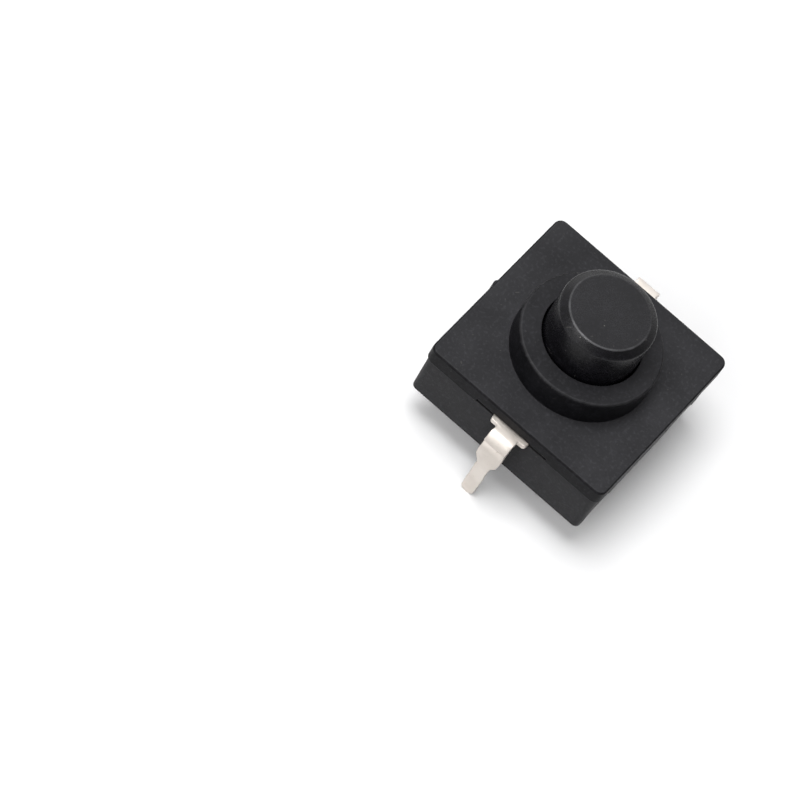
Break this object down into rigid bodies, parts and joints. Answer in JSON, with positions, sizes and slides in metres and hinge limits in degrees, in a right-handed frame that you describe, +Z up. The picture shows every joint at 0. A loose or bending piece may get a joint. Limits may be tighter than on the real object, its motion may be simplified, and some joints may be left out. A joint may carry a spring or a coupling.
{
  "type": "flashlight push button switch",
  "caption": "Black square self-locking push button switch for a flashlight, with a round button in a raised collar and bent sheet terminals on opposite sides.",
  "frame": {"origin": "centre of the housing's flat underside, on the button's axis", "axes": "+Z up the button's axis towards the pressed face; the terminals leave on -X and +X; the post pockets open to -Y and +Y"},
  "size_m": [0.0144, 0.0121, 0.011],
  "materials": {
    "black_housing": "fine satin moulded texture",
    "black_button": "satin, slightly polished by wear",
    "white_moulding": "plain moulded",
    "contact_brass": "rolled sheet",
    "spring_steel": "drawn wire",
    "tinned_terminal": "bright tin plate over sheet metal",
    "silver_contact": "silvered rivet"
  },
  "bodies": {
    "housing": {"upper_housing": "black_housing", "base": "black_housing", "left_terminal": "tinned_terminal", "right_terminal": "tinned_terminal", "left_fixed_contact": "silver_contact", "right_fixed_contact": "silver_contact"},
    "button": {"button": "black_button"},
    "contact_carrier": {"contact_bridge": "contact_brass", "left_moving_contact": "silver_contact", "right_moving_contact": "silver_contact", "return_spring": "spring_steel"},
    "rotor": {"rotor": "white_moulding"}
  },
  "joints": [
    {"name": "button_press", "type": "slide", "parent": "housing", "child": "button", "axis": [0, 0, -1], "range_m": [0, 0.0014], "stiffness_N_per_m": 900, "springref_m": -0.0015},
    {"name": "contact_drop", "type": "slide", "parent": "housing", "child": "contact_carrier", "axis": [0, 0, -1], "range_m": [0, 0.0007], "deforming": ["return_spring"]},
    {"name": "rotor_turn", "type": "hinge", "parent": "contact_carrier", "child": "rotor", "pos_m": [0, 0, 0.0026], "axis": [0, 0, 1], "range_deg": [0, 21.01]}
  ],
  "couplings": [
    {"joint": "contact_drop", "follows": "button_press", "ratio": 0.5},
    {"joint": "rotor_turn", "follows": "button_press", "rad_per_m": 261.8}
  ]
}
